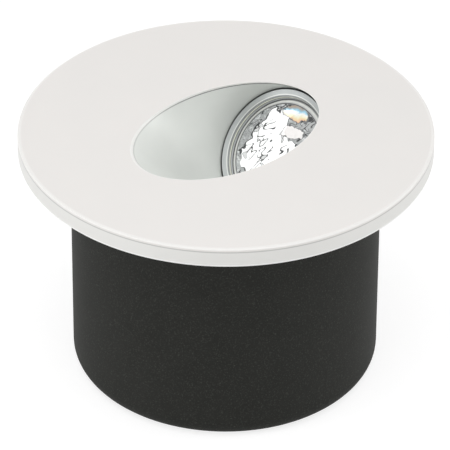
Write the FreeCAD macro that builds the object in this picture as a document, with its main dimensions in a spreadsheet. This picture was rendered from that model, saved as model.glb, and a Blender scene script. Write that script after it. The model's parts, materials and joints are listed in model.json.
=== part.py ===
import FreeCAD, Part
import os
import Sketcher

# A round recessed step light. A black sleeve is built into the wall, and the light pushes into it: a
# white faceplate with a slanted opening, a silver scoop under the opening, a lamp that looks along
# the scoop, and a cast barrel that carries the lamp and holds its driver behind a bolted cover.
# Lengths are in millimetres. Z is the faceplate's normal, and the sleeve stands on Z = 0. The lamp
# sits at the +Y end of the opening, which is the upper end once the light is in a wall.

SIZES = (
    # faceplate
    ("plate_radius", 40.0),
    ("plate_thickness", 4.0),
    ("plate_bevel", 0.25),
    ("lip_thickness", 0.4),
    ("spigot_depth", 1.5),
    ("spigot_clearance", 0.15),
    ("plate_boss_length", 5.0),
    # sleeve
    ("sleeve_wall", 1.9),
    ("sleeve_floor", 2.0),
    ("sleeve_draft", 0.3),
    ("base_rounding", 3.2),
    ("floor_rounding", 1.2),
    ("rim_lead", 0.5),
    ("rim_gap", 0.2),
    ("key_width", 3.0),
    ("key_height", 1.2),
    ("key_clearance", 0.4),
    ("key_drop", 3.3),
    # cable entry through the sleeve's floor
    ("entry_offset", 11.0),
    ("entry_hole_radius", 6.0),
    ("entry_recess_radius", 7.7),
    ("entry_recess_depth", 0.9),
    ("grommet_bore", 3.5),
    ("grommet_clearance", 0.05),
    ("grommet_inset", 0.1),
    ("grommet_flange", 0.9),
    # seals round the plate
    ("seal_width", 1.8),
    ("seal_reach", 0.4),
    ("seal_depth", 1.0),
    ("seal_clearance", 0.1),
    ("gasket_thickness", 0.5),
    ("gasket_width", 1.2),
    # lens axis
    ("lens_offset", 12.58),
    ("lens_depth", 10.08),
    ("lens_tilt", 48.2),
    # scoop
    ("scoop_flare", 3.5),
    ("scoop_wall", 1.1),
    ("scoop_clearance", 0.15),
    # lens ring
    ("ring_wall", 0.6),
    ("ring_foot_step", 0.25),
    ("ring_foot_height", 2.6),
    ("ring_foot_clearance", 0.05),
    ("ring_edge", 0.1),
    ("ring_band", 1.4),
    ("ring_band_drop", 0.35),
    ("ring_step", 0.3),
    ("ring_overlap", 0.9),
    ("ring_window_depth", 1.43),
    # lens, gasket and reflector
    ("lens_radius", 11.8),
    ("lens_clearance", 0.1),
    ("lens_thickness", 2.3),
    ("lens_bevel_width", 0.9),
    ("lens_bevel_height", 0.45),
    ("lens_crown", 0.4),
    ("lens_gasket_thickness", 0.8),
    ("lens_gasket_width", 1.4),
    ("reflector_foot_gap", 0.06),
    ("reflector_wall", 0.6),
    ("reflector_height", 3.0),
    ("reflector_bend", 30.0),
    # lamp board
    ("led_board_radius", 9.0),
    ("led_board_thickness", 1.5),
    ("led_board_clearance", 0.2),
    ("lead_slot_clearance", 0.15),
    ("lead_slot_lap", 1.4),
    ("thermal_pad_inset", 1.5),
    ("thermal_pad_thickness", 0.4),
    ("led_package_side", 5.0),
    ("led_package_thickness", 0.7),
    ("led_phosphor_radius", 2.1),
    ("led_phosphor_height", 0.5),
    # barrel
    ("barrel_gap", 0.9),
    ("barrel_wall", 1.6),
    ("barrel_bevel", 0.4),
    ("lamp_room", 0.303),
    ("scoop_room", 3.5),
    ("bulkhead_thickness", 2.0),
    ("collar_sink", 0.1835),
    ("socket_wall", 1.4),
    ("socket_lap", 3.0),
    ("seat_wall", 2.0),
    ("seat_floor", 1.7),
    ("seat_rib_thickness", 2.2),
    ("seat_rib_spacing", 12.0),
    ("seat_rib_start", 5.0),
    # plate screws
    ("plate_screw_inset", 3.2),
    ("plate_screw_angle", 30.0),
    ("plate_column_radius", 3.4),
    ("plate_boss_radius", 3.0),
    ("plate_screw_radius", 1.5),
    ("plate_screw_head", 2.8),
    ("plate_screw_head_height", 2.0),
    ("plate_screw_bite", 4.0),
    # rear cover
    ("cover_thickness", 2.0),
    ("cover_bevel", 0.5),
    ("cover_spigot_height", 3.2),
    ("cover_spigot_wall", 2.0),
    ("cover_spigot_clearance", 0.15),
    ("cover_seal_height", 1.0),
    ("cover_seal_groove", 1.4),
    ("cover_seal_depth", 0.95),
    ("pillar_radius", 3.0),
    ("pillar_gap", 0.2),
    ("cover_boss_radius", 3.4),
    ("cover_screw_inset", 3.2),
    ("cover_screw_radius", 1.5),
    ("cover_screw_head", 2.75),
    ("cover_screw_head_height", 1.4),
    ("cover_screw_length", 9.0),
    ("cover_screw_recess", 1.6),
    # holes round screws
    ("thread_clearance", 0.05),
    ("hole_clearance", 0.2),
    # driver board
    ("driver_board_radius", 16.8),
    ("driver_board_thickness", 1.6),
    ("driver_post_length", 2.0),
    ("component_room", 0.8),
    ("driver_post_radius", 2.2),
    ("driver_post_inset", 2.3),
    ("board_screw_radius", 1.2),
    ("board_screw_head", 2.2),
    ("board_screw_head_height", 1.4),
    ("board_screw_bite", 3.0),
    # transformer
    ("core_offset", 10.4),
    ("core_width", 9.0),
    ("core_depth", 4.8),
    ("core_height", 6.4),
    ("core_leg", 1.5),
    ("core_centre_leg", 2.4),
    ("coil_clearance", 0.1),
    ("coil_overhang", 1.2),
    # capacitors and chips
    ("large_capacitor_radius", 3.15),
    ("large_capacitor_height", 6.2),
    ("large_capacitor_x", 10.2),
    ("large_capacitor_y", -2.4),
    ("small_capacitor_radius", 2.5),
    ("small_capacitor_height", 5.4),
    ("small_capacitor_x", 6.2),
    ("small_capacitor_y", 9.6),
    ("capacitor_groove", 0.3),
    ("rectifier_x", -6.4),
    ("rectifier_y", 10.2),
    ("controller_x", -9.6),
    ("controller_y", -8.8),
    ("chip_length", 4.8),
    ("chip_width", 3.8),
    ("chip_height", 1.7),
    ("chip_leg_width", 0.6),
    ("chip_leg_reach", 0.9),
    ("chip_leg_thickness", 0.25),
    # terminal block
    ("terminal_pitch", 5.0),
    ("terminal_depth", 7.6),
    ("terminal_height", 6.6),
    ("terminal_front", 2.4),
    ("terminal_wire_radius", 1.3),
    ("terminal_wire_reach", 6.2),
    ("terminal_wire_height", 2.4),
    ("terminal_screw_radius", 1.4),
    ("terminal_screw_length", 2.6),
    ("terminal_screw_inset", 0.6),
    # leads from the driver to the lamp board
    ("lead_radius", 0.45),
    ("lead_spacing", 1.5),
    ("lead_reach", 3.6),
    ("lead_bend", 1.4),
    ("lead_pad_inset", 1.4),
    ("lead_hole_radius", 1.7),
    # cable gland
    ("gland_room", 0.8),
    ("gland_thread", 5.95),
    ("gland_bore", 3.6),
    ("gland_across_flats", 14.0),
    ("gland_washer_thickness", 0.6),
    ("gland_washer_radius", 7.2),
    ("gland_hex_height", 2.4),
    ("gland_neck_radius", 5.3),
    ("gland_neck_length", 2.4),
    ("gland_mouth", 4.5),
    ("gland_tail", 3.4),
    ("gland_locknut_height", 2.6),
    ("gland_nut_length", 4.1),
    ("gland_nut_bore", 3.4),
    ("gland_nut_end", 4.9),
    ("gland_nut_hex", 2.4),
    ("gland_bush_bore", 3.1),
    ("gland_bush_proud", 0.5),
    # leaf springs
    ("spring_block_wall", 2.6),
    ("spring_block_half_width", 6.4),
    ("spring_pocket_depth", 2.4),
    ("spring_pocket_half_width", 4.6),
    ("spring_pocket_foot_room", 0.6),
    ("spring_pocket_tip_room", 2.3),
    ("spring_block_lap", 0.2),
    ("spring_width", 6.0),
    ("spring_thickness", 0.4),
    ("spring_lift", 1.6),
    ("spring_root_length", 5.5),
    ("spring_bow_gap", 0.31),
    ("spring_bow_start", 13.2),
    ("spring_bow_length", 3.6),
    ("spring_bow_bend", 6.5),
    ("spring_tip_rise", 1.0),
    ("spring_length", 23.5),
    ("spring_screw_lift", 2.6),
    ("spring_screw_radius", 1.1),
    ("spring_shoulder_radius", 1.5),
    ("spring_screw_head", 2.4),
    ("spring_screw_head_height", 1.2),
    ("spring_play", 0.25),
    ("spring_screw_bite", 2.0),
)

# Angles round Z of the screws that repeat in no regular pattern, in degrees.
COVER_SCREW_ANGLES = (90, 240, 300)
DRIVER_POST_ANGLES = (30, 150, 270)


class Size:
    """A length or an angle, kept as a formula on the cells of the sheet."""

    def __init__(self, formula):
        self.formula = str(formula)

    def __str__(self):
        return self.formula

    def __add__(self, other):
        return Size(f"({self} + {other})")

    def __radd__(self, other):
        return Size(f"({other} + {self})")

    def __sub__(self, other):
        return Size(f"({self} - {other})")

    def __rsub__(self, other):
        return Size(f"({other} - {self})")

    def __mul__(self, other):
        return Size(f"({self} * {other})")

    __rmul__ = __mul__

    def __truediv__(self, other):
        return Size(f"({self} / {other})")

    def __neg__(self):
        return Size(f"(0 - {self})")


def sine(angle):
    return Size(f"sin({angle})")


def cosine(angle):
    return Size(f"cos({angle})")


def tangent(angle):
    return Size(f"tan({angle})")


def root(size):
    return Size(f"sqrt({size})")


def larger(first, second):
    return Size(f"max({first}; {second})")


class Sizes:
    """The sheet's cells by name, each as a Size."""


doc = FreeCAD.newDocument("step_light")
sheet = doc.addObject("Spreadsheet::Sheet", "Sizes")
dims = Sizes()
for row, (alias, number) in enumerate(SIZES, start=1):
    sheet.set(f"A{row}", alias)
    sheet.set(f"B{row}", str(number))
    sheet.setAlias(f"B{row}", alias)
    setattr(dims, alias, Size(f"Sizes.{alias}"))
doc.recompute()


def value(size):
    """The number that a size has now."""
    return float(sheet.evalExpression(str(size)))


def bind(thing, name, size):
    """Ties one property of an object to the sheet."""
    thing.setExpression(name, str(size))


# Radii round the lens axis.
lens_pocket = dims.lens_radius + dims.lens_clearance
ring_radius = lens_pocket + dims.ring_wall
ring_foot_radius = ring_radius + dims.ring_foot_step
ring_window = dims.lens_radius - dims.ring_overlap
scoop_bore = ring_foot_radius + dims.ring_foot_clearance
scoop_outer = scoop_bore + dims.scoop_wall
socket_radius = scoop_outer + dims.scoop_clearance
collar_radius = socket_radius + dims.socket_wall
cavity_mouth = dims.lens_radius - dims.lens_gasket_width
cavity_radius = dims.led_board_radius + dims.led_board_clearance
lead_pad_distance = dims.led_board_radius - dims.lead_pad_inset

# Distances along the lens axis: 0 is the ring's front, and minus is behind it.
lens_front = -(dims.ring_window_depth + dims.lens_clearance)
lens_back = lens_front - dims.lens_thickness
shoulder = lens_back - dims.lens_gasket_thickness
led_board_front = lens_back - dims.lens_clearance - dims.reflector_height
led_board_back = led_board_front - dims.led_board_thickness
seat_floor = led_board_back - dims.thermal_pad_thickness
cavity_step = led_board_front + dims.led_board_clearance * 4

# Heights in the row's frame, from the sleeve's base up.
grommet_top = dims.sleeve_floor + dims.grommet_flange
gland_nut_top = dims.gland_washer_thickness + dims.gland_hex_height + dims.thread_clearance * 4
cover_low = grommet_top + dims.gland_room + dims.gland_nut_length + gland_nut_top
barrel_low = cover_low + dims.cover_thickness
spigot_top = barrel_low + dims.cover_spigot_height
boss_low = spigot_top + dims.pillar_gap
board_low = barrel_low + dims.component_room + dims.terminal_height
board_top = board_low + dims.driver_board_thickness
bulkhead_low = board_top + dims.driver_post_length
bulkhead_top = bulkhead_low + dims.bulkhead_thickness
collar_drop = collar_radius * sine(dims.lens_tilt) - cavity_step * cosine(dims.lens_tilt)
lens_height = bulkhead_top - dims.collar_sink + collar_drop
plate_top = lens_height + dims.lens_depth
under_lip = plate_top - dims.lip_thickness
under_plate = plate_top - dims.plate_thickness
recess_floor = under_plate + dims.spigot_depth
barrel_top = recess_floor - dims.gasket_thickness
column_top = recess_floor - dims.plate_boss_length
sleeve_height = under_plate - dims.rim_gap
key_top = sleeve_height - dims.key_drop


def scoop_far_reach():
    """How far the scoop's low end runs from Z, where the lip cuts it off."""
    steep = cosine(dims.lens_tilt) - tangent(dims.scoop_flare) * sine(dims.lens_tilt)
    rise = under_lip - lens_height + scoop_outer * sine(dims.lens_tilt)
    along = rise / steep
    radius = scoop_outer + along * tangent(dims.scoop_flare)
    return along * sine(dims.lens_tilt) + radius * cosine(dims.lens_tilt) - dims.lens_offset


# Radii round Z. The barrel is as wide as the lamp and the scoop need.
lamp_reach = dims.lens_offset - shoulder * sine(dims.lens_tilt) + scoop_outer * cosine(dims.lens_tilt)
barrel_bore = larger(lamp_reach + dims.lamp_room, scoop_far_reach() + dims.scoop_room)
barrel_radius = barrel_bore + dims.barrel_wall
sleeve_bore = barrel_radius + dims.barrel_gap
sleeve_radius = sleeve_bore + dims.sleeve_wall
seal_outer = sleeve_radius + dims.seal_reach
spring_seat = barrel_radius - dims.spring_pocket_depth
plate_screw_circle = barrel_bore - dims.plate_screw_inset
cover_screw_circle = barrel_bore - dims.cover_screw_inset
driver_post_circle = dims.driver_board_radius - dims.driver_post_inset

# Heights of the leaf springs and their pockets.
spring_root_low = boss_low + dims.spring_lift
spring_root_top = spring_root_low + dims.spring_root_length
spring_tip = spring_root_low + dims.spring_length
spring_screw_height = spring_root_low + dims.spring_screw_lift
spring_pocket_low = spring_root_low - dims.spring_pocket_foot_room
spring_pocket_top = spring_tip + dims.spring_pocket_tip_room


def new_body(label):
    return doc.addObject("PartDesign::Body", label)


def on_lens_axis(thing, along=0):
    """Stands a body or a primitive on the lens axis, its own Z pointing out of the lens."""
    turn = FreeCAD.Rotation(FreeCAD.Vector(1, 0, 0), value(dims.lens_tilt))
    thing.Placement = FreeCAD.Placement(FreeCAD.Vector(), turn)
    bind(thing, "Placement.Rotation.Angle", dims.lens_tilt)
    bind(thing, "Placement.Base.y", dims.lens_offset - along * sine(dims.lens_tilt))
    bind(thing, "Placement.Base.z", lens_height + along * cosine(dims.lens_tilt))


def stand_at(thing, x=0, y=0, z=0):
    """Moves a body without turning it."""
    bind(thing, "Placement.Base.x", x)
    bind(thing, "Placement.Base.y", y)
    bind(thing, "Placement.Base.z", z)


def sketch_on(body, name, plane, lift=0):
    """A sketch on one of the body's own planes, moved along that plane's normal by lift."""
    sketch = body.newObject("Sketcher::SketchObject", name)
    support = [item for item in body.Origin.OriginFeatures if item.Role == plane][0]
    sketch.AttachmentSupport = [(support, "")]
    sketch.MapMode = "FlatFace"
    bind(sketch, "AttachmentOffset.Base.z", lift)
    return sketch


def swelling_arc(start, end, radius):
    """The short arc between two points. From start to end it swells to the right of its way, or to
    the left if radius < 0. Every arc is made to run anticlockwise, as the sketch keeps it."""
    if radius < 0:
        start, end = end, start
    chord = end - start
    right = FreeCAD.Vector(chord.y, -chord.x, 0).normalize()
    depth = (radius ** 2 - (chord.Length / 2) ** 2) ** 0.5
    centre = (start + end) * 0.5 - right * depth
    return Part.Arc(start, centre + right * abs(radius), end)


def pin_point(sketch, edge, end, x, y):
    """Fixes one end, or the centre, of an edge at sizes from the sketch's origin."""
    for kind, size in (("DistanceX", x), ("DistanceY", y)):
        rule = sketch.addConstraint(Sketcher.Constraint(kind, -1, 1, edge, end, value(size)))
        bind(sketch, f"Constraints[{rule}]", size)


def outline(sketch, corners, closed=True):
    """Edges through corners, each (x, y) or (x, y, bend). bend is the radius of an arc from that
    corner to the next, swelling to the right of its way, or to the left where it is negative."""
    places = [FreeCAD.Vector(value(corner[0]), value(corner[1]), 0) for corner in corners]
    count = len(corners) if closed else len(corners) - 1
    edges = []
    for number in range(count):
        start = places[number]
        end = places[(number + 1) % len(corners)]
        first, last = 1, 2
        if len(corners[number]) == 2:
            edge = sketch.addGeometry(Part.LineSegment(start, end), False)
        else:
            bend = corners[number][2]
            if value(bend) < 0:
                first, last = 2, 1
            edge = sketch.addGeometry(swelling_arc(start, end, value(bend)), False)
            rule = sketch.addConstraint(Sketcher.Constraint("Radius", edge, abs(value(bend))))
            bind(sketch, f"Constraints[{rule}]", f"abs({bend})")
        edges.append((edge, first, last))
    joints = count if closed else count - 1
    for number in range(joints):
        edge, near, far = edges[number]
        follower, follower_near, follower_far = edges[(number + 1) % count]
        sketch.addConstraint(Sketcher.Constraint("Coincident", edge, far, follower, follower_near))
    for (edge, near, far), corner in zip(edges, corners):
        pin_point(sketch, edge, near, corner[0], corner[1])
    if not closed:
        pin_point(sketch, edges[-1][0], edges[-1][2], corners[-1][0], corners[-1][1])


def circle(sketch, x, y, radius):
    shape = Part.Circle(FreeCAD.Vector(value(x), value(y), 0), FreeCAD.Vector(0, 0, 1), value(radius))
    edge = sketch.addGeometry(shape, False)
    rule = sketch.addConstraint(Sketcher.Constraint("Radius", edge, value(radius)))
    bind(sketch, f"Constraints[{rule}]", radius)
    pin_point(sketch, edge, 3, x, y)


def rectangle(sketch, low_x, low_y, high_x, high_y):
    outline(sketch, [(low_x, low_y), (high_x, low_y), (high_x, high_y), (low_x, high_y)])


def hexagon(sketch, across_flats):
    corner_radius = across_flats / 2 / cosine(30)
    outline(sketch, [around(corner_radius, 60 * number) for number in range(6)])


def cross(sketch, arm, half_width):
    """A plus sign, as a screwdriver's recess."""
    quarter = ((arm, -half_width), (arm, half_width), (half_width, half_width))
    corners = []
    for turn in range(4):
        for x, y in quarter:
            for _ in range(turn):
                x, y = -y, x
            corners.append((x, y))
    outline(sketch, corners)


def around(radius, angle):
    """The point at a radius and an angle round the origin, as a pair of sizes."""
    return radius * cosine(angle), radius * sine(angle)


def turned(body, name, corners, cut=False):
    """A shape turned round the body's Z from its half section, added or cut away."""
    sketch = sketch_on(body, f"{name}_profile", "XZ_Plane")
    outline(sketch, corners)
    feature = body.newObject("PartDesign::Groove" if cut else "PartDesign::Revolution", name)
    feature.Profile = sketch
    feature.ReferenceAxis = (sketch, ["V_Axis"])
    feature.Angle = 360
    return feature


def raised(body, name, sketch, length):
    """A pad from the sketch along its normal."""
    feature = body.newObject("PartDesign::Pad", name)
    feature.Profile = sketch
    bind(feature, "Length", length)
    return feature


def sunk(body, name, sketch, length, forward=False):
    """A pocket against the sketch's normal, or along it if forward is true."""
    feature = body.newObject("PartDesign::Pocket", name)
    feature.Profile = sketch
    feature.Reversed = forward
    bind(feature, "Length", length)
    return feature


def ring_of(label, inner, outer, low, high):
    """A plain flat ring round the body's Z."""
    body = new_body(label)
    turned(body, f"{label}_ring", [(inner, low), (outer, low), (outer, high), (inner, high)])
    return body


def screw(label, radius, length, head, head_height):
    """A pan-head screw with a cross recess, its head under Z = 0 and its shank along +Z."""
    body = new_body(label)
    turned(body, f"{label}_turned", [
        (0, -head_height),
        (head * 0.8, -head_height),
        (head, head_height * -0.6),
        (head, 0),
        (radius, 0),
        (radius, length - radius / 2),
        (radius / 2, length),
        (0, length),
    ])
    recess = sketch_on(body, f"{label}_recess_outline", "XY_Plane", -head_height)
    cross(recess, head * 0.55, head * 0.14)
    sunk(body, f"{label}_recess", recess, head_height * 0.6, forward=True)
    return body


def group(label, pieces):
    """Several loose solids of one kind under one name."""
    compound = doc.addObject("Part::Compound", label)
    compound.Links = pieces
    return compound


# ---------------------------------------------------------------- sleeve

def make_mounting_sleeve():
    body = new_body("mounting_sleeve")
    foot_bore = sleeve_bore - dims.sleeve_draft
    turned(body, "sleeve_cup", [
        (0, 0),
        (sleeve_radius - dims.base_rounding, 0, dims.base_rounding),
        (sleeve_radius, dims.base_rounding),
        (sleeve_radius, sleeve_height),
        (sleeve_bore + dims.rim_lead, sleeve_height),
        (sleeve_bore, sleeve_height - dims.rim_lead * 2),
        (foot_bore, dims.sleeve_floor + dims.floor_rounding, -dims.floor_rounding),
        (foot_bore - dims.floor_rounding, dims.sleeve_floor),
        (0, dims.sleeve_floor),
    ])
    key = sketch_on(body, "key_outline", "XY_Plane", dims.sleeve_floor)
    wall_middle = sleeve_bore + dims.sleeve_wall / 2
    rectangle(key, -dims.key_width / 2, -wall_middle, dims.key_width / 2, dims.key_height - sleeve_bore)
    raised(body, "key_rib", key, key_top - dims.sleeve_floor)
    entry = sketch_on(body, "entry_outline", "XY_Plane", dims.sleeve_floor)
    circle(entry, 0, -dims.entry_offset, dims.entry_hole_radius)
    sunk(body, "entry_hole", entry, dims.sleeve_floor)
    recess = sketch_on(body, "entry_recess_outline", "XY_Plane")
    circle(recess, 0, -dims.entry_offset, dims.entry_recess_radius)
    sunk(body, "entry_recess", recess, dims.entry_recess_depth, forward=True)
    return body


def make_entry_grommet():
    body = new_body("entry_grommet")
    neck = dims.entry_hole_radius - dims.grommet_clearance
    low_flange = dims.entry_recess_radius - dims.grommet_clearance * 4
    turned(body, "grommet_ring", [
        (dims.grommet_bore, dims.grommet_inset),
        (low_flange, dims.grommet_inset),
        (low_flange, dims.entry_recess_depth),
        (neck, dims.entry_recess_depth),
        (neck, dims.sleeve_floor),
        (low_flange, dims.sleeve_floor),
        (low_flange - dims.grommet_flange, grommet_top),
        (dims.grommet_bore, grommet_top),
    ])
    stand_at(body, y=-dims.entry_offset)
    return body


# ---------------------------------------------------------------- faceplate and its seals

def plate_screw_places():
    return [
        around(plate_screw_circle, side + swing * dims.plate_screw_angle)
        for side in (0, 180)
        for swing in (1, -1)
    ]


def make_faceplate():
    body = new_body("faceplate")
    recess = barrel_radius + dims.spigot_clearance
    step = seal_outer + dims.seal_clearance
    step_top = under_plate + dims.seal_depth
    turned(body, "plate_disc", [
        (0, recess_floor),
        (recess, recess_floor),
        (recess, step_top),
        (step, step_top),
        (step, under_plate),
        (dims.plate_radius - dims.plate_bevel, under_plate),
        (dims.plate_radius, under_plate + dims.plate_bevel),
        (dims.plate_radius, under_lip),
        (0, under_lip),
    ])
    bosses = sketch_on(body, "boss_outline", "XY_Plane", column_top)
    for x, y in plate_screw_places():
        circle(bosses, x, y, dims.plate_boss_radius)
    raised(body, "bosses", bosses, dims.plate_boss_length + dims.lip_thickness)
    clear_tube = body.newObject("PartDesign::SubtractiveCylinder", "tube_clearance")
    bind(clear_tube, "Radius", socket_radius)
    bind(clear_tube, "Height", -shoulder)
    on_lens_axis(clear_tube, shoulder)
    clear_cone = body.newObject("PartDesign::SubtractiveCone", "scoop_clearance")
    lens_cone(clear_cone, socket_radius)
    turned(body, "plate_lip", [
        (0, under_lip),
        (dims.plate_radius, under_lip),
        (dims.plate_radius, plate_top - dims.plate_bevel),
        (dims.plate_radius - dims.plate_bevel, plate_top),
        (0, plate_top),
    ])
    opening = body.newObject("PartDesign::SubtractiveCone", "opening")
    lens_cone(opening, scoop_bore)
    taps = sketch_on(body, "tap_outline", "XY_Plane", column_top)
    for x, y in plate_screw_places():
        circle(taps, x, y, dims.plate_screw_radius + dims.thread_clearance)
    sunk(body, "taps", taps, dims.plate_screw_bite + dims.hole_clearance, forward=True)
    return body


def cone_length():
    """From the ring out along the axis, past the far end of the opening."""
    return dims.lens_depth / cosine(dims.lens_tilt) + scoop_bore * 2


def lens_cone(feature, radius):
    """Gives a cone primitive the scoop's flare from this radius at the ring."""
    bind(feature, "Radius1", radius)
    bind(feature, "Radius2", radius + cone_length() * tangent(dims.scoop_flare))
    bind(feature, "Height", cone_length())
    on_lens_axis(feature)


def make_plate_seal():
    return ring_of("plate_seal", seal_outer - dims.seal_width, seal_outer,
                   under_plate, under_plate + dims.seal_depth)


def make_faceplate_gasket():
    outer = barrel_radius - dims.seal_clearance
    return ring_of("faceplate_gasket", outer - dims.gasket_width, outer, barrel_top, recess_floor)


# ---------------------------------------------------------------- scoop, ring and lens

def make_scoop():
    body = new_body("scoop")
    tube = body.newObject("PartDesign::AdditiveCylinder", "scoop_tube")
    bind(tube, "Radius", scoop_outer)
    bind(tube, "Height", -shoulder)
    on_lens_axis(tube, shoulder)
    cone = body.newObject("PartDesign::AdditiveCone", "scoop_cone")
    lens_cone(cone, scoop_outer)
    tube_bore = body.newObject("PartDesign::SubtractiveCylinder", "scoop_tube_bore")
    bind(tube_bore, "Radius", scoop_bore)
    bind(tube_bore, "Height", -shoulder)
    on_lens_axis(tube_bore, shoulder)
    bore = body.newObject("PartDesign::SubtractiveCone", "scoop_bore")
    lens_cone(bore, scoop_bore)
    trim = body.newObject("PartDesign::SubtractiveBox", "scoop_trim")
    bind(trim, "Length", dims.plate_radius * 2)
    bind(trim, "Width", dims.plate_radius * 2)
    bind(trim, "Height", dims.plate_radius * 2)
    stand_at(trim, -dims.plate_radius, -dims.plate_radius, under_lip)
    return body


def make_lens_ring():
    body = new_body("lens_ring")
    foot_top = shoulder + dims.ring_foot_height
    band = ring_radius - dims.ring_band
    turned(body, "ring_section", [
        (lens_pocket, shoulder),
        (ring_foot_radius, shoulder),
        (ring_foot_radius, foot_top),
        (ring_radius, foot_top),
        (ring_radius, -dims.ring_edge),
        (ring_radius - dims.ring_edge, 0),
        (band, -dims.ring_band_drop),
        (band, -dims.ring_band_drop - dims.ring_step),
        (ring_window, -dims.ring_window_depth),
        (ring_window, lens_front),
        (lens_pocket, lens_front),
    ])
    on_lens_axis(body)
    return body


def make_lens():
    body = new_body("lens")
    bevel_foot = ring_window - dims.lens_clearance
    bevel_top = bevel_foot - dims.lens_bevel_width
    face = lens_front + dims.lens_bevel_height
    crown = dims.lens_crown
    crown_bend = (bevel_top * bevel_top + crown * crown) / (crown * 2)
    turned(body, "lens_section", [
        (0, lens_back),
        (dims.lens_radius, lens_back),
        (dims.lens_radius, lens_front),
        (bevel_foot, lens_front),
        (bevel_top, face, crown_bend),
        (0, face + crown),
    ])
    on_lens_axis(body)
    return body


def make_lens_gasket():
    body = ring_of("lens_gasket", cavity_mouth, dims.lens_radius, shoulder, lens_back)
    on_lens_axis(body)
    return body


def make_reflector():
    body = new_body("reflector")
    rim = cavity_mouth - dims.led_board_clearance
    top = lens_back - dims.lens_clearance
    lip = top - dims.reflector_wall
    wall = dims.reflector_wall
    foot = dims.led_package_side / 2 / cosine(45) + dims.reflector_foot_gap
    turned(body, "reflector_cup", [
        (foot, led_board_front),
        (foot + wall, led_board_front, dims.reflector_bend),
        (rim, lip),
        (rim, top),
        (rim - wall, top, -dims.reflector_bend),
    ])
    on_lens_axis(body)
    return body


def make_led_board():
    body = new_body("led_board")
    disc = sketch_on(body, "led_board_outline", "XY_Plane", led_board_back)
    circle(disc, 0, 0, dims.led_board_radius)
    raised(body, "led_board_disc", disc, dims.led_board_thickness)
    slot = sketch_on(body, "lead_slot_outline", "XY_Plane", led_board_front)
    half = dims.lead_spacing / 2 + dims.lead_bend + dims.lead_slot_clearance
    rectangle(slot, -half, -cavity_radius, half, dims.lead_slot_lap - lead_pad_distance)
    sunk(body, "lead_slot", slot, dims.led_board_thickness)
    on_lens_axis(body)
    return body


def make_thermal_pad():
    body = new_body("thermal_pad")
    disc = sketch_on(body, "pad_outline", "XY_Plane", seat_floor)
    circle(disc, 0, 0, dims.led_board_radius - dims.thermal_pad_inset)
    raised(body, "pad_disc", disc, dims.thermal_pad_thickness)
    on_lens_axis(body)
    return body


def make_led_package():
    body = new_body("led_package")
    half = dims.led_package_side / 2
    square = sketch_on(body, "package_outline", "XY_Plane", led_board_front)
    rectangle(square, -half, -half, half, half)
    raised(body, "package_block", square, dims.led_package_thickness)
    on_lens_axis(body)
    return body


def make_led_phosphor():
    body = new_body("led_phosphor")
    low = led_board_front + dims.led_package_thickness
    radius = dims.led_phosphor_radius
    rise = dims.led_phosphor_height
    bend = (radius * radius + rise * rise) / (rise * 2)
    turned(body, "phosphor_dome", [(0, low), (radius, low, bend), (0, low + rise)])
    on_lens_axis(body)
    return body


# ---------------------------------------------------------------- barrel

def cover_screw_places():
    return [around(cover_screw_circle, angle) for angle in COVER_SCREW_ANGLES]


def driver_post_places():
    return [around(driver_post_circle, angle) for angle in DRIVER_POST_ANGLES]


def lead_place():
    """Where the leads stand: the row's Y of their pads on the lamp board."""
    return (dims.lens_offset - led_board_front * sine(dims.lens_tilt)
            - lead_pad_distance * cosine(dims.lens_tilt))


def lead_top():
    """The height at which the leads bend over and lie on their pads."""
    above = led_board_front + dims.lead_radius
    inward = (lead_place() - dims.lens_offset) * sine(dims.lens_tilt)
    return lens_height + (above + inward) / cosine(dims.lens_tilt)


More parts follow.
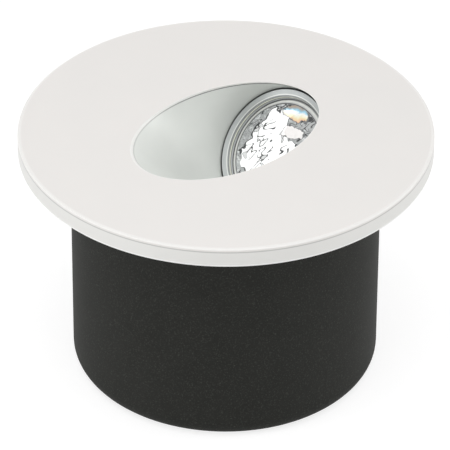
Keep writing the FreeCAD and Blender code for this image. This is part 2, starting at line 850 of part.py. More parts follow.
def make_barrel():
    body = new_body("barrel")
    bevel = dims.barrel_bevel
    turned(body, "barrel_shell", [
        (0, bulkhead_low),
        (barrel_bore, bulkhead_low),
        (barrel_bore, barrel_low),
        (barrel_radius - bevel, barrel_low),
        (barrel_radius, barrel_low + bevel),
        (barrel_radius, barrel_top),
        (barrel_bore, barrel_top),
        (barrel_bore, bulkhead_top),
        (0, bulkhead_top),
    ])
    collar = body.newObject("PartDesign::AdditiveCylinder", "lamp_collar")
    collar_low = cavity_step
    bind(collar, "Radius", collar_radius)
    bind(collar, "Height", shoulder + dims.socket_lap - collar_low)
    on_lens_axis(collar, collar_low)
    seat = body.newObject("PartDesign::AdditiveCylinder", "lamp_seat")
    seat_low = seat_floor - dims.seat_floor
    bind(seat, "Radius", cavity_radius + dims.seat_wall)
    bind(seat, "Height", collar_low - seat_low)
    on_lens_axis(seat, seat_low)
    ribs = sketch_on(body, "seat_rib_outline", "XY_Plane", bulkhead_low)
    rib_half = dims.seat_rib_thickness / 2
    for x in (dims.seat_rib_spacing / 2, -dims.seat_rib_spacing / 2):
        rectangle(ribs, x - rib_half, dims.seat_rib_start, x + rib_half, barrel_bore)
    raised(body, "seat_ribs", ribs, barrel_top - bulkhead_low)
    blocks = sketch_on(body, "spring_block_outline", "XY_Plane", boss_low)
    half = dims.spring_block_half_width
    inner = spring_seat - dims.spring_block_wall
    rectangle(blocks, inner, -half, barrel_radius, half)
    rectangle(blocks, -barrel_radius, -half, -inner, half)
    raised(body, "spring_blocks", blocks, spring_pocket_top + dims.spring_block_lap - boss_low)
    columns = sketch_on(body, "column_outline", "XY_Plane", bulkhead_low)
    for x, y in plate_screw_places():
        circle(columns, x, y, dims.plate_column_radius)
    raised(body, "columns", columns, column_top - bulkhead_low)
    cover_bosses = sketch_on(body, "cover_boss_outline", "XY_Plane", boss_low)
    for x, y in cover_screw_places():
        circle(cover_bosses, x, y, dims.cover_boss_radius)
    raised(body, "cover_bosses", cover_bosses, bulkhead_top - boss_low)
    posts = sketch_on(body, "driver_post_outline", "XY_Plane", board_top)
    for x, y in driver_post_places():
        circle(posts, x, y, dims.driver_post_radius)
    raised(body, "driver_posts", posts, bulkhead_top - board_top)
    beyond = dims.plate_radius
    turned(body, "outside_trim", [
        (barrel_radius, cover_low),
        (beyond, cover_low),
        (beyond, plate_top + beyond),
        (0, plate_top + beyond),
        (0, barrel_top),
        (barrel_radius, barrel_top),
    ], cut=True)
    socket = body.newObject("PartDesign::SubtractiveCylinder", "scoop_socket")
    bind(socket, "Radius", socket_radius)
    bind(socket, "Height", cone_length())
    on_lens_axis(socket, shoulder)
    mouth = body.newObject("PartDesign::SubtractiveCone", "lamp_mouth")
    bind(mouth, "Radius1", cavity_radius)
    bind(mouth, "Radius2", cavity_mouth)
    bind(mouth, "Height", shoulder - cavity_step)
    on_lens_axis(mouth, cavity_step)
    cavity = body.newObject("PartDesign::SubtractiveCylinder", "lamp_cavity")
    bind(cavity, "Radius", cavity_radius)
    bind(cavity, "Height", cavity_step - seat_floor)
    on_lens_axis(cavity, seat_floor)
    drill_barrel(body)
    cut_spring_pockets(body)
    key_slot = sketch_on(body, "key_slot_outline", "XY_Plane", barrel_low)
    cut_key_slot(body, key_slot, key_top + dims.key_clearance * 2 - barrel_low)
    return body


def cut_key_slot(body, sketch, length):
    """Clears the sleeve's key rib."""
    half = dims.key_width / 2 + dims.key_clearance
    slot_floor = dims.key_height + dims.key_clearance - sleeve_bore
    rectangle(sketch, -half, -sleeve_bore, half, slot_floor)
    sunk(body, "key_slot", sketch, length, forward=True)


def drill_barrel(body):
    plate_holes = sketch_on(body, "plate_hole_outline", "XY_Plane", bulkhead_low)
    for x, y in plate_screw_places():
        circle(plate_holes, x, y, dims.plate_screw_radius + dims.hole_clearance)
    sunk(body, "plate_holes", plate_holes, column_top - bulkhead_low, forward=True)
    cover_taps = sketch_on(body, "cover_tap_outline", "XY_Plane", boss_low)
    for x, y in cover_screw_places():
        circle(cover_taps, x, y, dims.cover_screw_radius + dims.thread_clearance)
    cover_bite = cover_low + dims.cover_screw_recess + dims.cover_screw_length - boss_low
    sunk(body, "cover_taps", cover_taps, cover_bite + dims.hole_clearance, forward=True)
    board_taps = sketch_on(body, "board_tap_outline", "XY_Plane", board_top)
    for x, y in driver_post_places():
        circle(board_taps, x, y, dims.board_screw_radius + dims.thread_clearance)
    sunk(body, "board_taps", board_taps, dims.board_screw_bite + dims.hole_clearance, forward=True)
    lead_hole = sketch_on(body, "lead_hole_outline", "XY_Plane", bulkhead_low)
    circle(lead_hole, 0, lead_place(), dims.lead_hole_radius)
    sunk(body, "lead_hole", lead_hole, lead_top() - bulkhead_low, forward=True)


def cut_spring_pockets(body):
    pockets = sketch_on(body, "spring_pocket_outline", "XY_Plane", spring_pocket_low)
    half = dims.spring_pocket_half_width
    rectangle(pockets, spring_seat, -half, sleeve_radius, half)
    rectangle(pockets, -sleeve_radius, -half, -spring_seat, half)
    sunk(body, "spring_pockets", pockets, spring_pocket_top - spring_pocket_low, forward=True)
    for name, lift, forward in (("right", spring_seat, False), ("left", -spring_seat, True)):
        tap = sketch_on(body, f"spring_tap_{name}_outline", "YZ_Plane", lift)
        circle(tap, 0, spring_screw_height, dims.spring_screw_radius + dims.thread_clearance)
        depth = dims.spring_screw_bite + dims.hole_clearance
        sunk(body, f"spring_tap_{name}", tap, depth, forward)


# ---------------------------------------------------------------- rear cover

def make_rear_cover():
    body = new_body("rear_cover")
    spigot = barrel_bore - dims.cover_spigot_clearance
    groove = barrel_bore - dims.cover_seal_depth - dims.cover_spigot_clearance
    groove_low = barrel_low + dims.cover_seal_height
    groove_high = groove_low + dims.cover_seal_groove
    spigot_inner = spigot - dims.cover_spigot_wall
    turned(body, "cover_disc", [
        (0, cover_low),
        (barrel_radius - dims.cover_bevel, cover_low),
        (barrel_radius, cover_low + dims.cover_bevel),
        (barrel_radius, barrel_low),
        (spigot, barrel_low),
        (spigot, spigot_top),
        (spigot_inner, spigot_top),
        (spigot_inner, barrel_low),
        (0, barrel_low),
    ])
    pillars = sketch_on(body, "pillar_outline", "XY_Plane", barrel_low)
    for x, y in cover_screw_places():
        circle(pillars, x, y, dims.pillar_radius)
    raised(body, "pillars", pillars, boss_low - barrel_low)
    turned(body, "seal_groove", [
        (groove, groove_low),
        (barrel_bore, groove_low),
        (barrel_bore, groove_high),
        (groove, groove_high),
    ], cut=True)
    holes = sketch_on(body, "cover_hole_outline", "XY_Plane", cover_low)
    recesses = sketch_on(body, "cover_recess_outline", "XY_Plane", cover_low)
    for x, y in cover_screw_places():
        circle(holes, x, y, dims.cover_screw_radius + dims.hole_clearance)
        circle(recesses, x, y, dims.cover_screw_head + dims.hole_clearance)
    sunk(body, "cover_holes", holes, boss_low - cover_low, forward=True)
    sunk(body, "cover_recesses", recesses, dims.cover_screw_recess, forward=True)
    gland = sketch_on(body, "gland_hole_outline", "XY_Plane", cover_low)
    circle(gland, 0, -dims.entry_offset, dims.gland_thread + dims.thread_clearance)
    sunk(body, "gland_hole", gland, dims.cover_thickness, forward=True)
    key_slot = sketch_on(body, "cover_key_slot_outline", "XY_Plane", cover_low)
    cut_key_slot(body, key_slot, dims.cover_thickness)
    return body


def make_rear_seal():
    body = new_body("rear_seal")
    seal_radius = (dims.cover_seal_depth + dims.cover_spigot_clearance) / 2
    height = barrel_low + dims.cover_seal_height + dims.cover_seal_groove / 2
    section = sketch_on(body, "seal_section", "XZ_Plane")
    circle(section, barrel_bore - seal_radius, height, seal_radius)
    seal = body.newObject("PartDesign::Revolution", "seal_ring")
    seal.Profile = section
    seal.ReferenceAxis = (section, ["V_Axis"])
    seal.Angle = 360
    return body


def make_screw_group(label, places, height, length, radius, head, head_height):
    """Upright screws whose heads bear on the face at this height from below."""
    screws = []
    for number, (x, y) in enumerate(places, start=1):
        body = screw(f"{label}_{number}", radius, length, head, head_height)
        stand_at(body, x, y, height)
        screws.append(body)
    return group(label, screws)


def make_plate_screws():
    length = column_top - bulkhead_low + dims.plate_screw_bite
    return make_screw_group("plate_screws", plate_screw_places(), bulkhead_low, length,
                            dims.plate_screw_radius, dims.plate_screw_head, dims.plate_screw_head_height)


def make_cover_screws():
    height = cover_low + dims.cover_screw_recess
    return make_screw_group("cover_screws", cover_screw_places(), height, dims.cover_screw_length,
                            dims.cover_screw_radius, dims.cover_screw_head, dims.cover_screw_head_height)


def make_board_screws():
    length = dims.driver_board_thickness + dims.board_screw_bite
    return make_screw_group("board_screws", driver_post_places(), board_low, length,
                            dims.board_screw_radius, dims.board_screw_head, dims.board_screw_head_height)


# ---------------------------------------------------------------- driver

def make_driver_board():
    body = new_body("driver_board")
    disc = sketch_on(body, "driver_board_outline", "XY_Plane", board_low)
    circle(disc, 0, 0, dims.driver_board_radius)
    raised(body, "driver_board_disc", disc, dims.driver_board_thickness)
    holes = sketch_on(body, "driver_board_hole_outline", "XY_Plane", board_top)
    for x, y in driver_post_places():
        circle(holes, x, y, dims.board_screw_radius + dims.hole_clearance)
    sunk(body, "driver_board_holes", holes, dims.driver_board_thickness)
    return body


def make_transformer_core():
    """Two E halves glued face to face: an outer frame and a centre leg, seen from the side."""
    body = new_body("transformer_core")
    half = dims.core_width / 2
    window = dims.core_centre_leg / 2
    core_low = board_low - dims.core_height
    frame = sketch_on(body, "core_outline", "XZ_Plane", -dims.core_depth / 2)
    rectangle(frame, -half, core_low, half, board_low)
    for side in (1, -1):
        edges = sorted((side * window, side * (half - dims.core_leg)), key=value)
        rectangle(frame, edges[0], core_low + dims.core_leg, edges[1], board_low - dims.core_leg)
    raised(body, "core_block", frame, dims.core_depth)
    stand_at(body, x=-dims.core_offset)
    return body


def make_transformer_coil():
    """The winding round the core's centre leg."""
    body = new_body("transformer_coil")
    outer_x = dims.core_width / 2 - dims.core_leg - dims.coil_clearance
    outer_y = dims.core_depth / 2 + dims.coil_overhang
    inner_x = dims.core_centre_leg / 2 + dims.coil_clearance
    inner_y = dims.core_depth / 2 + dims.coil_clearance
    low = board_low - dims.core_height + dims.core_leg
    high = board_low - dims.core_leg
    rounding = dims.coil_overhang
    section = sketch_on(body, "coil_outline", "XY_Plane", low)
    outline(section, [
        (rounding - outer_x, -outer_y),
        (outer_x - rounding, -outer_y, rounding),
        (outer_x, rounding - outer_y),
        (outer_x, outer_y - rounding, rounding),
        (outer_x - rounding, outer_y),
        (rounding - outer_x, outer_y, rounding),
        (-outer_x, outer_y - rounding),
        (-outer_x, rounding - outer_y, rounding),
    ])
    rectangle(section, -inner_x, -inner_y, inner_x, inner_y)
    raised(body, "coil_winding", section, high - low)
    stand_at(body, x=-dims.core_offset)
    return body


def make_capacitor(label, x, y, radius, height):
    body = new_body(label)
    groove = dims.capacitor_groove
    turned(body, f"{label}_can", [
        (0, -height),
        (radius - groove, -height),
        (radius, groove - height),
        (radius, groove * -4),
        (radius - groove, groove * -3),
        (radius, groove * -2),
        (radius, 0),
        (0, 0),
    ])
    stand_at(body, x, y, board_low)
    return body


def make_capacitors():
    large = make_capacitor("large_capacitor", dims.large_capacitor_x, dims.large_capacitor_y,
                           dims.large_capacitor_radius, dims.large_capacitor_height)
    small = make_capacitor("small_capacitor", dims.small_capacitor_x, dims.small_capacitor_y,
                           dims.small_capacitor_radius, dims.small_capacitor_height)
    return group("capacitors", [large, small])


def make_chip(label, x, y):
    """A flat moulded chip under the board, with two legs on each long side."""
    body = new_body(label)
    half_length = dims.chip_length / 2
    half_width = dims.chip_width / 2
    block = sketch_on(body, f"{label}_outline", "XY_Plane", -dims.chip_height)
    rectangle(block, -half_length, -half_width, half_length, half_width)
    raised(body, f"{label}_block", block, dims.chip_height - dims.chip_leg_thickness)
    reach = half_width + dims.chip_leg_reach
    legs = sketch_on(body, f"{label}_leg_outline", "XY_Plane", -dims.chip_leg_thickness)
    leg = dims.chip_leg_width / 2
    for side in (1, -1):
        middle = half_length * side / 2
        rectangle(legs, middle - leg, -reach, middle + leg, reach)
    raised(body, f"{label}_legs", legs, dims.chip_leg_thickness)
    stand_at(body, x, y, board_low)
    return body


def make_driver_chips():
    rectifier = make_chip("rectifier", dims.rectifier_x, dims.rectifier_y)
    controller = make_chip("controller", dims.controller_x, dims.controller_y)
    return group("driver_chips", [rectifier, controller])


def terminal_poles():
    return [dims.terminal_pitch / 2, -dims.terminal_pitch / 2]


def make_terminal_block():
    body = new_body("terminal_block")
    low = board_low - dims.terminal_height
    front = -dims.terminal_front
    back = front + dims.terminal_depth
    block = sketch_on(body, "terminal_outline", "XY_Plane", low)
    rectangle(block, -dims.terminal_pitch, front, dims.terminal_pitch, back)
    raised(body, "terminal_body", block, dims.terminal_height)
    wires = sketch_on(body, "terminal_wire_outline", "XZ_Plane", dims.terminal_front)
    wells = sketch_on(body, "terminal_well_outline", "XY_Plane", low)
    for x in terminal_poles():
        circle(wires, x, board_low - dims.terminal_wire_height, dims.terminal_wire_radius)
        circle(wells, x, front + dims.terminal_depth / 2, dims.terminal_screw_radius + dims.hole_clearance)
    sunk(body, "terminal_wire_holes", wires, dims.terminal_wire_reach)
    well_depth = dims.terminal_screw_inset + dims.terminal_screw_length
    sunk(body, "terminal_wells", wells, well_depth, forward=True)
    return body


def make_terminal_screws():
    screws = []
    length = dims.terminal_screw_length
    slot_half = dims.terminal_screw_radius / 5
    for number, x in enumerate(terminal_poles(), start=1):
        body = new_body(f"terminal_screw_{number}")
        shank = sketch_on(body, f"terminal_screw_{number}_outline", "XY_Plane")
        circle(shank, 0, 0, dims.terminal_screw_radius)
        raised(body, f"terminal_screw_{number}_shank", shank, length)
        slot = sketch_on(body, f"terminal_screw_{number}_slot_outline", "XY_Plane")
        reach = dims.terminal_screw_radius * 2
        rectangle(slot, -reach, -slot_half, reach, slot_half)
        sunk(body, f"terminal_screw_{number}_slot", slot, length / 4, forward=True)
        middle = dims.terminal_depth / 2 - dims.terminal_front
        stand_at(body, x, middle, board_low - dims.terminal_height + dims.terminal_screw_inset)
        screws.append(body)
    return group("terminal_screws", screws)


def make_lead(label, side):
    """A wire from the driver board up through the bulkhead, bent over onto its lamp pad."""
    body = new_body(label)
    start_x = side * dims.lead_spacing / 2
    bend_x = side * (dims.lead_spacing / 2 + dims.lead_bend)
    end_x = side * dims.lead_reach
    top = lead_top()
    path = sketch_on(body, f"{label}_route", "XZ_Plane", -lead_place())
    outline(path, [
        (start_x, board_top),
        (start_x, top - dims.lead_bend, -side * dims.lead_bend),
        (bend_x, top),
        (end_x, top),
    ], closed=False)
    section = sketch_on(body, f"{label}_section", "XY_Plane", board_top)
    circle(section, start_x, lead_place(), dims.lead_radius)
    pipe = body.newObject("PartDesign::AdditivePipe", f"{label}_wire")
    pipe.Profile = section
    pipe.Spine = (path, ["Edge1", "Edge2", "Edge3"])
    return body


# ---------------------------------------------------------------- cable gland

def make_gland_washer():
    inner = dims.gland_thread + dims.thread_clearance
    body = ring_of("gland_washer", inner, dims.gland_washer_radius,
                   cover_low - dims.gland_washer_thickness, cover_low)
    stand_at(body, y=-dims.entry_offset)
    return body


def gland_face():
    """The height of the hexagon's upper face, which bears on the washer."""
    return cover_low - dims.gland_washer_thickness


def make_cable_gland():
    body = new_body("cable_gland")
    hex_low = gland_face() - dims.gland_hex_height
    neck_low = hex_low - dims.gland_neck_length
    flats = sketch_on(body, "gland_hex_outline", "XY_Plane", hex_low)
    hexagon(flats, dims.gland_across_flats)
    raised(body, "gland_hex", flats, dims.gland_hex_height)
    thread_top = barrel_low + dims.gland_tail
    turned(body, "gland_thread", [
        (0, neck_low),
        (dims.gland_neck_radius, neck_low),
        (dims.gland_neck_radius, hex_low),
        (dims.gland_thread, gland_face()),
        (dims.gland_thread, thread_top),
        (0, thread_top),
    ])
    turned(body, "gland_bore", [
        (0, neck_low),
        (dims.gland_mouth, neck_low),
        (dims.gland_mouth, hex_low),
        (dims.gland_bore, hex_low + dims.gland_mouth - dims.gland_bore),
        (dims.gland_bore, thread_top),
        (0, thread_top),
    ], cut=True)
    stand_at(body, y=-dims.entry_offset)
    return body


def bush_low():
    """The bush stands proud of the neck, so that the nut can press it."""
    hex_low = gland_face() - dims.gland_hex_height
    return hex_low - dims.gland_neck_length - dims.gland_bush_proud


def make_gland_bush():
    hex_low = gland_face() - dims.gland_hex_height
    body = ring_of("gland_bush", dims.gland_bush_bore, dims.gland_mouth - dims.thread_clearance,
                   bush_low(), hex_low)
    stand_at(body, y=-dims.entry_offset)
    return body


def make_gland_nut():
    body = new_body("gland_nut")
    top = cover_low - gland_nut_top
    low = top - dims.gland_nut_length
    hex_low = top - dims.gland_nut_hex
    corner = dims.gland_across_flats / 2
    flats = sketch_on(body, "nut_hex_outline", "XY_Plane", hex_low)
    hexagon(flats, dims.gland_across_flats)
    raised(body, "nut_hex", flats, dims.gland_nut_hex)
    turned(body, "nut_dome", [
        (0, low),
        (dims.gland_nut_end, low, dims.gland_nut_end),
        (corner, hex_low),
        (corner, top),
        (0, top),
    ])
    inside = dims.gland_neck_radius + dims.thread_clearance
    ceiling = bush_low() - dims.thread_clearance
    turned(body, "nut_bore", [
        (0, low),
        (dims.gland_nut_bore, low),
        (dims.gland_nut_bore, ceiling),
        (inside, ceiling),
        (inside, top),
        (0, top),
    ], cut=True)
    stand_at(body, y=-dims.entry_offset)
    return body


def make_gland_locknut():
    body = new_body("gland_locknut")
    flats = sketch_on(body, "locknut_outline", "XY_Plane", barrel_low)
    hexagon(flats, dims.gland_across_flats)
    circle(flats, 0, 0, dims.gland_thread + dims.thread_clearance)
    raised(body, "locknut_block", flats, dims.gland_locknut_height)
    stand_at(body, y=-dims.entry_offset)
    return body


# ---------------------------------------------------------------- leaf springs

def make_spring(label, side):
    """A bowed strip. A screw below the bow holds it in its pocket with play, so that it can rock."""
    body = new_body(label)
    seat = spring_seat
    thick = dims.spring_thickness
    bow_low = spring_root_low + dims.spring_bow_start
    bow_top = bow_low + dims.spring_bow_length
    half_bow = dims.spring_bow_length / 2
    outside_bend = dims.spring_bow_bend + thick
    crest = outside_bend - root(outside_bend * outside_bend - half_bow * half_bow)
    bow = sleeve_bore - dims.sleeve_draft - dims.spring_bow_gap - crest - thick
    tip = seat + dims.spring_tip_rise
    strip = sketch_on(body, f"{label}_outline", "XZ_Plane", -dims.spring_width / 2)
    outline(strip, [
        (side * (seat + thick), spring_root_low),
        (side * (seat + thick), spring_root_top),
        (side * (bow + thick), bow_low, side * outside_bend),
        (side * (bow + thick), bow_top),
        (side * (tip + thick), spring_tip),
        (side * tip, spring_tip),
        (side * bow, bow_top, -side * dims.spring_bow_bend),
        (side * bow, bow_low),
        (side * seat, spring_root_top),
        (side * seat, spring_root_low),
    ])
    raised(body, f"{label}_strip", strip, dims.spring_width)
    hole = sketch_on(body, f"{label}_hole_outline", "YZ_Plane", side * (seat + thick))
    circle(hole, 0, spring_screw_height, dims.spring_shoulder_radius + dims.hole_clearance)
    sunk(body, f"{label}_hole", hole, thick, forward=side < 0)
    return body


def make_spring_screws():
    screws = []
    for name, side in (("right", 1), ("left", -1)):
        label = f"spring_screw_{name}"
        under_head = dims.spring_thickness + dims.spring_play
        body = screw(label, dims.spring_screw_radius, under_head + dims.spring_screw_bite,
                     dims.spring_screw_head, dims.spring_screw_head_height)
        shoulder_radius = dims.spring_shoulder_radius
        turned(body, f"{label}_shoulder", [
            (0, 0),
            (shoulder_radius, 0),
            (shoulder_radius, under_head),
            (0, under_head),
        ])
        turn = FreeCAD.Rotation(FreeCAD.Vector(0, 1, 0), -90 * side)
        body.Placement = FreeCAD.Placement(FreeCAD.Vector(), turn)
        stand_at(body, side * (spring_seat + under_head), 0, spring_screw_height)
        screws.append(body)
    return group("spring_screws", screws)


# ---------------------------------------------------------------- the whole light

def make_all():
    return [
        make_mounting_sleeve(),
        make_entry_grommet(),
        make_faceplate(),
        make_plate_seal(),
        make_faceplate_gasket(),
        make_scoop(),
        make_lens_ring(),
        make_lens(),
        make_lens_gasket(),
        make_reflector(),
        make_led_board(),
        make_thermal_pad(),
        make_led_package(),
        make_led_phosphor(),
        make_barrel(),
        make_plate_screws(),
        make_rear_cover(),
        make_rear_seal(),
        make_cover_screws(),
        make_driver_board(),
        make_board_screws(),
        make_transformer_core(),
        make_transformer_coil(),
        make_capacitors(),
        make_driver_chips(),
        make_terminal_block(),
        make_terminal_screws(),
        make_lead("led_lead_plus", 1),
        make_lead("led_lead_minus", -1),
        make_gland_washer(),
        make_cable_gland(),
        make_gland_bush(),
        make_gland_nut(),
        make_gland_locknut(),
        make_spring("spring_right", 1),
        make_spring("spring_left", -1),
        make_spring_screws(),
    ]


def check_document():
    """Stops if a feature failed, or if a cut took nothing away."""
    for thing in doc.Objects:
        if "Invalid" in thing.State or "Error" in thing.State:
            raise RuntimeError(f"{thing.Label} did not build: {thing.State}")
        cuts = ("Pocket", "Groove", "Subtractive")
        if any(word in thing.TypeId for word in cuts):
            before = thing.BaseFeature.Shape.Volume
            if thing.Shape.Volume > before - 1e-3:
                raise RuntimeError(f"{thing.Label} cuts nothing")


def write_pieces(pieces):
    os.makedirs("parts", exist_ok=True)
    for piece in pieces:
        shape = piece.Shape
        if shape.isNull() or not shape.isValid() or not shape.Solids:
            raise RuntimeError(f"{piece.Label} has no valid shape")
        shape.exportStep(f"parts/{piece.Label}.step")
        print(f"{piece.Label}: {len(shape.Solids)} solids, {shape.Volume:.1f} mm3")


pieces = make_all()
doc.recompute()
check_document()
write_pieces(pieces)
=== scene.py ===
import json
import math

import bmesh
import bpy
from mathutils import Matrix, Vector, noise


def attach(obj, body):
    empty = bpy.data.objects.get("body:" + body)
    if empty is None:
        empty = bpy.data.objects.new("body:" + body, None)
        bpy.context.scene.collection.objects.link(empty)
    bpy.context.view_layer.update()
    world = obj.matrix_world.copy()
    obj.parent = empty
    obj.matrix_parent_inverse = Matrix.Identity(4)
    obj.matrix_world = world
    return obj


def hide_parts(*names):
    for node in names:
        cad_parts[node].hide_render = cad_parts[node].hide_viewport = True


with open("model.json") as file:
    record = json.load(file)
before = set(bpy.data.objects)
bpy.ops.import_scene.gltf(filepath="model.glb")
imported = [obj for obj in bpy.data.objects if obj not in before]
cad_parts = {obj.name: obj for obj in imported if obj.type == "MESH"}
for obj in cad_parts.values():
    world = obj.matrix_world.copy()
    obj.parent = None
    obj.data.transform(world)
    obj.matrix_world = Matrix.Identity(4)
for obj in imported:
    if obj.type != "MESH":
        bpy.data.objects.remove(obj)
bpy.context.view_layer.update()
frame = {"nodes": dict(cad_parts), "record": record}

# A recessed step light, in metres. Z is the faceplate's normal, and the lamp is at the +Y end.
MM = 0.001
PLATE_TOP = 51.5 * MM
PLATE_THICKNESS = 4.0 * MM
PLATE_RADIUS = 40.0 * MM
OPENING_MIDDLE = -0.11 * MM
OPENING_HALF_WIDTH = 13.76 * MM
OPENING_HALF_LENGTH = 20.68 * MM

# The lens axis: its Z points out of the lens, and its zero is the front of the lens ring.
LENS_TILT = math.radians(48.2)
LENS_PLACE = Vector((0, 12.58, 41.42)) * MM
LENS_FRAME = Matrix.Translation(LENS_PLACE) @ Matrix.Rotation(LENS_TILT, 4, "X")
LENS_RADIUS = 11.8 * MM
LENS_BACK = -3.83 * MM
LENS_FLANGE = -1.53 * MM
LENS_BEVEL_FOOT = 10.8 * MM
LENS_FACE_RADIUS = 9.9 * MM
LENS_FACE = -1.08 * MM
LENS_CROWN = 0.4 * MM
LENS_STEPS = 90
LENS_SEGMENTS = 420

# The relief pressed into the lens's face: the sizes of its marks, and their heights in millimetres.
# Blender draws the swirls from the clock unless they are given a seed.
RELIEF_SEED = 1795578202
SWIRL_SIZE = 3.2 * MM
BLOB_SIZE = 2.3 * MM
RIPPLE_SIZE = 1.1 * MM
BLOB_HEIGHT = 0.22
RIPPLE_HEIGHT = 0.07
PLAIN_MARGIN = 0.8 * MM

# The finishes of the lens and its ring are laid out in millimetres on the lens axis.
RING_EDGE = 12.42
RING_WALL = 11.1
RING_WALL_TOP = -0.35
RING_WALL_DEPTH = 1.1
GLASS_RIM = 9.7
GLASS_RIM_WIDTH = 1.2

# The colour of the painted shadow in the scoop's seams.
SEAM_SHADOW_BLACK = (0.03, 0.033, 0.035)
# The colour of the lens's painted dark reflections.
DARK_REFLECTION_BLACK = (0.02, 0.023, 0.025)
# The dark outline of the painted patches of light on the lens.
LIGHT_PATCH_OUTLINE = (0.05, 0.055, 0.06)


# ---------------------------------------------------------------- mesh helpers

def finish_piece(name, mesh_data, smooth_angle):
    """Makes an object from a bmesh, shaded smooth except across edges sharper than the angle."""
    bmesh.ops.remove_doubles(mesh_data, verts=mesh_data.verts, dist=1e-6)
    bmesh.ops.recalc_face_normals(mesh_data, faces=mesh_data.faces)
    mesh = bpy.data.meshes.new(name)
    mesh_data.to_mesh(mesh)
    mesh_data.free()
    mesh.shade_smooth()
    mesh.set_sharp_from_angle(angle=math.radians(smooth_angle))
    piece = bpy.data.objects.new(name, mesh)
    bpy.context.scene.collection.objects.link(piece)
    return piece


def turned(profile, segments):
    """Spins an open half section of (radius, height) points, whose ends lie on Z, round Z."""
    mesh_data = bmesh.new()
    verts = [mesh_data.verts.new((radius, 0, height)) for radius, height in profile]
    edges = [mesh_data.edges.new(pair) for pair in zip(verts, verts[1:])]
    bmesh.ops.spin(
        mesh_data,
        geom=verts + edges,
        cent=(0, 0, 0),
        axis=(0, 0, 1),
        angle=math.tau,
        steps=segments,
        use_merge=True,
    )
    return mesh_data


# ---------------------------------------------------------------- shader helpers

class Socket:
    """An output socket that can be used in arithmetic."""

    def __init__(self, finish, link):
        self.finish = finish
        self.link = link

    def math(self, operation, *others):
        return self.finish.node("ShaderNodeMath", {"operation": operation}, [self, *others])

    def __add__(self, other):
        return self.math("ADD", other)

    __radd__ = __add__

    def __sub__(self, other):
        return self.math("SUBTRACT", other)

    def __rsub__(self, other):
        return self.finish.node("ShaderNodeMath", {"operation": "SUBTRACT"}, [other, self])

    def __mul__(self, other):
        return self.math("MULTIPLY", other)

    __rmul__ = __mul__

    def __truediv__(self, other):
        return self.math("DIVIDE", other)

    def __abs__(self):
        return self.math("ABSOLUTE")

    def __pow__(self, other):
        return self.math("POWER", other)


class Finish:
    """A Principled material with its plain values, and the nodes that vary it."""

    def __init__(self, name, color, **uniform):
        self.material = bpy.data.materials.new(name)
        self.material.use_nodes = True
        self.tree = self.material.node_tree
        self.shader = self.tree.nodes["Principled BSDF"]
        self.shader.inputs["Base Color"].default_value = (*color, 1)
        for socket, amount in uniform.items():
            label = socket.replace("_", " ").title().replace("Ior", "IOR")
            self.shader.inputs[label].default_value = amount

    def node(self, kind, settings=None, inputs=None, output=0):
        """Makes a node from its settings, and its inputs from values or links."""
        node = self.tree.nodes.new(kind)
        for key, setting in (settings or {}).items():
            if key == "stops":
                set_stops(node.color_ramp, setting)
            else:
                setattr(node, key, setting)
        pairs = inputs.items() if isinstance(inputs, dict) else enumerate(inputs or [])
        for key, given in pairs:
            if isinstance(given, Socket):
                self.tree.links.new(given.link, node.inputs[key])
            else:
                node.inputs[key].default_value = given
        return Socket(self, node.outputs[output])

    def place(self):
        """Object coordinates, in metres."""
        return self.node("ShaderNodeTexCoord", output="Object")

    def on_lens(self):
        """Coordinates in millimetres on the lens: X across, Y up its face, Z out of it."""
        return self.moved(self.place(), LENS_PLACE, (LENS_TILT, 0, 0), (MM, MM, MM))

    def moved(self, position, shift=(0, 0, 0), turn=(0, 0, 0), scale=(1, 1, 1)):
        """Coordinates with their origin at shift, turned there and counted in steps of scale."""
        inputs = {"Vector": position, "Location": shift, "Rotation": turn, "Scale": scale}
        return self.node("ShaderNodeMapping", {"vector_type": "TEXTURE"}, inputs)

    def parts(self, position):
        """The three numbers of a vector."""
        split = self.node("ShaderNodeSeparateXYZ", {}, [position])
        return [Socket(self, output) for output in split.link.node.outputs]

    def joined(self, *numbers):
        """A vector of three numbers."""
        return self.node("ShaderNodeCombineXYZ", {}, numbers)

    def noise(self, position, size, detail=2.0, roughness=0.5, distortion=0.0):
        """Noise from 0 to 1 whose features are about size across."""
        inputs = {
            "Vector": position,
            "Scale": 1 / size,
            "Detail": detail,
            "Roughness": roughness,
            "Distortion": distortion,
        }
        return self.node("ShaderNodeTexNoise", {}, inputs)

    def ramp(self, factor, stops):
        """A value from 0 to 1 turned into a colour by its stops."""
        return self.node("ShaderNodeValToRGB", {"stops": stops}, {"Fac": factor})

    def fade(self, value, low, high):
        """0 where value is low, 1 where it is high, smooth between."""
        inputs = {"Value": value, "From Min": low, "From Max": high, "To Min": 0.0, "To Max": 1.0}
        settings = {"interpolation_type": "SMOOTHSTEP", "clamp": True}
        return self.node("ShaderNodeMapRange", settings, inputs)

    def line(self, value, centre, half_width):
        """1 where value is at the centre, 0 beyond the half width."""
        return 1 - self.fade(abs(value - centre), half_width * 0.5, half_width)

    def blend(self, factor, first, second):
        """Mixes two colours."""
        settings = {"data_type": "RGBA", "clamp_factor": True}
        inputs = {0: factor, 6: color_of(first), 7: color_of(second)}
        return self.node("ShaderNodeMix", settings, inputs, output=2)

    def feed(self, socket, value):
        self.tree.links.new(value.link, self.shader.inputs[socket])

    def bump(self, height, depth, strength):
        """Bumps the surface by height, where 1 stands depth metres proud."""
        inputs = {"Height": height, "Distance": depth, "Strength": strength}
        self.feed("Normal", self.node("ShaderNodeBump", {}, inputs))


def color_of(given):
    """A colour with its alpha, or the socket that gives one."""
    return given if isinstance(given, Socket) else (*given, 1)


def set_stops(ramp, stops):
    """Stops are pairs of a position and a colour."""
    while len(ramp.elements) < len(stops):
        ramp.elements.new(1.0)
    for element, (position, color) in zip(ramp.elements, stops):
        element.position = position
        element.color = (*color, 1)


def length_of(first, second):
    """The length of a flat vector from its two numbers."""
    return (first * first + second * second) ** 0.5


# ---------------------------------------------------------------- finishes

